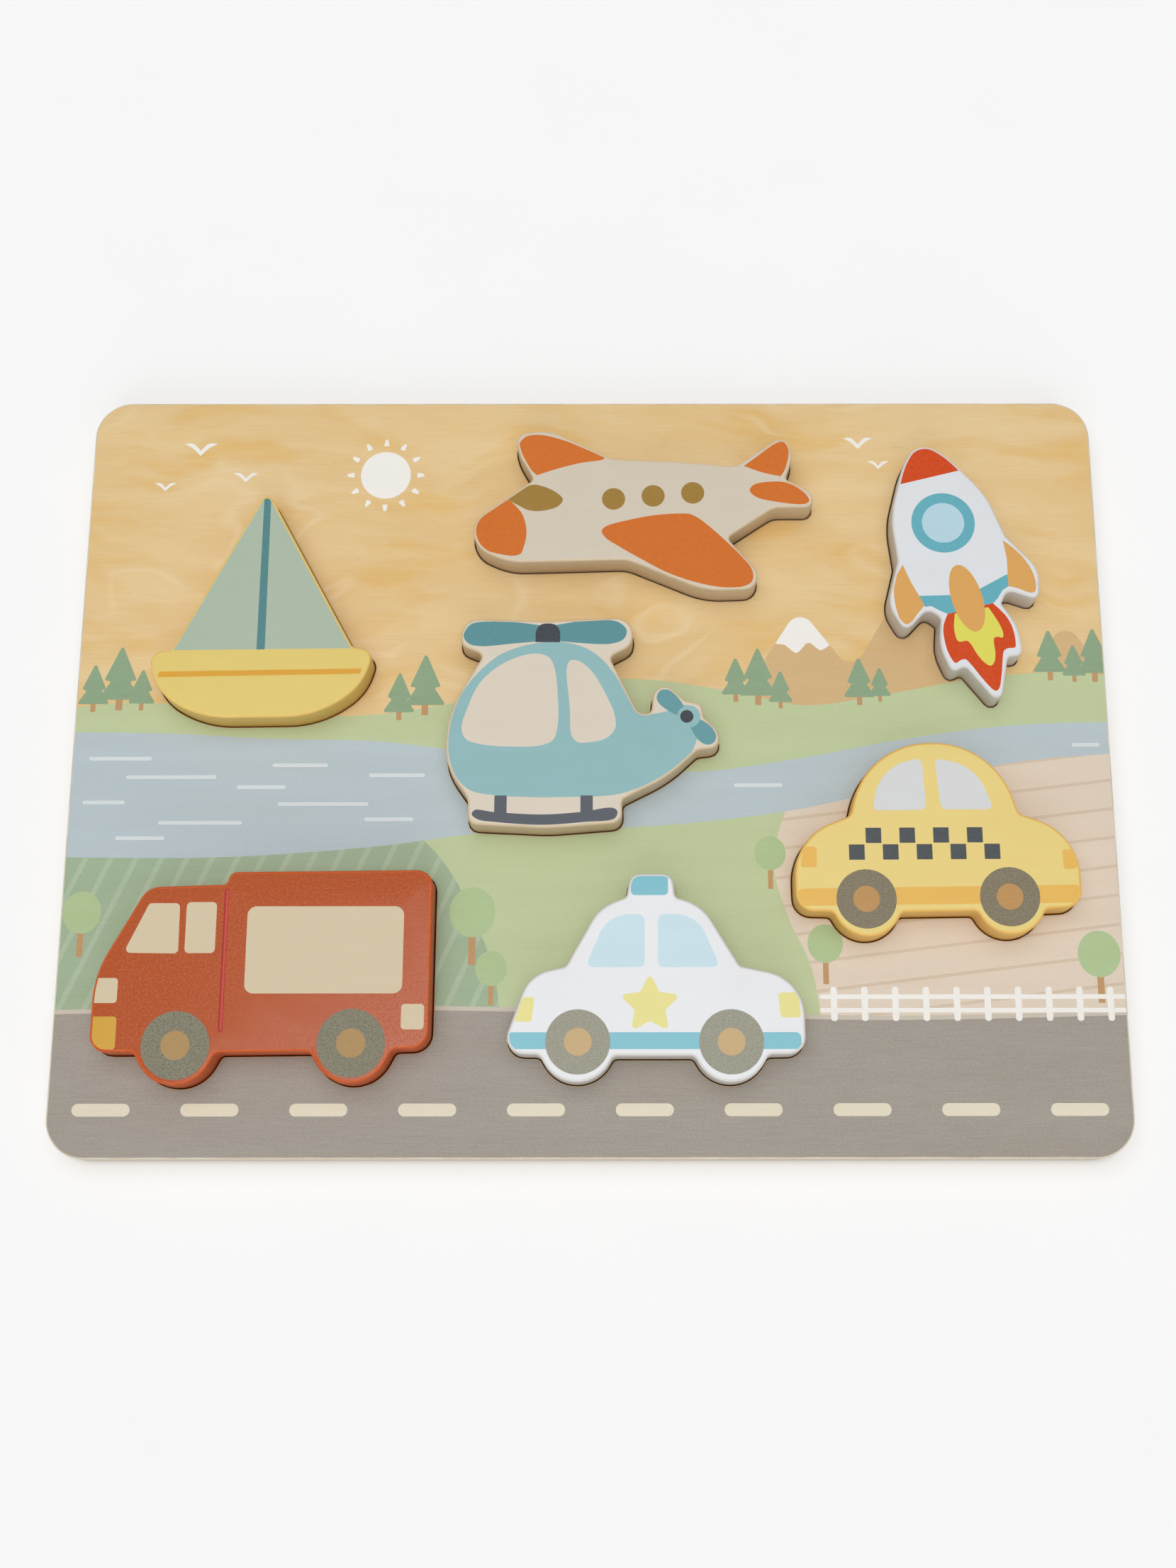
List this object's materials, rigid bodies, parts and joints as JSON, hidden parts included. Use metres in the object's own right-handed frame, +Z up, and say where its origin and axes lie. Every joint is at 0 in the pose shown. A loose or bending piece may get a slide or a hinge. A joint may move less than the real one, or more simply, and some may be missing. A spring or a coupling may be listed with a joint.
{
  "type": "wooden tray puzzle",
  "caption": "Flat rounded wooden tray puzzle: a printed board with vehicle-shaped cut-outs on a backing board, and thick painted vehicle pieces that lift straight out.",
  "frame": {"origin": "centre of the board's underside, on the surface that it lies on", "axes": "+X along the board's long side to the right, +Y away from the player, +Z up out of the tray"},
  "size_m": [0.3, 0.225, 0.018],
  "materials": {
    "backing": "bare plywood, matt",
    "board_print": "printed plywood, matt",
    "sailboat_paint": "painted and printed wood, satin",
    "aeroplane_paint": "painted and printed wood, satin",
    "rocket_paint": "painted and printed wood, satin",
    "helicopter_paint": "painted and printed wood, satin",
    "van_paint": "painted and printed wood, satin",
    "police_car_paint": "painted and printed wood, satin",
    "taxi_paint": "painted and printed wood, satin"
  },
  "bodies": {
    "tray": {"backing_board": "backing", "tray_board": "board_print"},
    "sailboat": {"sailboat": "sailboat_paint"},
    "aeroplane": {"aeroplane": "aeroplane_paint"},
    "rocket": {"rocket": "rocket_paint"},
    "helicopter": {"helicopter": "helicopter_paint"},
    "van": {"van": "van_paint"},
    "police_car": {"police_car": "police_car_paint"},
    "taxi": {"taxi": "taxi_paint"}
  },
  "joints": [
    {"name": "sailboat_lift", "type": "slide", "parent": "tray", "child": "sailboat", "axis": [0, 0, 1], "range_m": [0, 0.05]},
    {"name": "aeroplane_lift", "type": "slide", "parent": "tray", "child": "aeroplane", "axis": [0, 0, 1], "range_m": [0, 0.05]},
    {"name": "rocket_lift", "type": "slide", "parent": "tray", "child": "rocket", "axis": [0, 0, 1], "range_m": [0, 0.05]},
    {"name": "helicopter_lift", "type": "slide", "parent": "tray", "child": "helicopter", "axis": [0, 0, 1], "range_m": [0, 0.05]},
    {"name": "van_lift", "type": "slide", "parent": "tray", "child": "van", "axis": [0, 0, 1], "range_m": [0, 0.05]},
    {"name": "police_car_lift", "type": "slide", "parent": "tray", "child": "police_car", "axis": [0, 0, 1], "range_m": [0, 0.05]},
    {"name": "taxi_lift", "type": "slide", "parent": "tray", "child": "taxi", "axis": [0, 0, 1], "range_m": [0, 0.05]}
  ]
}
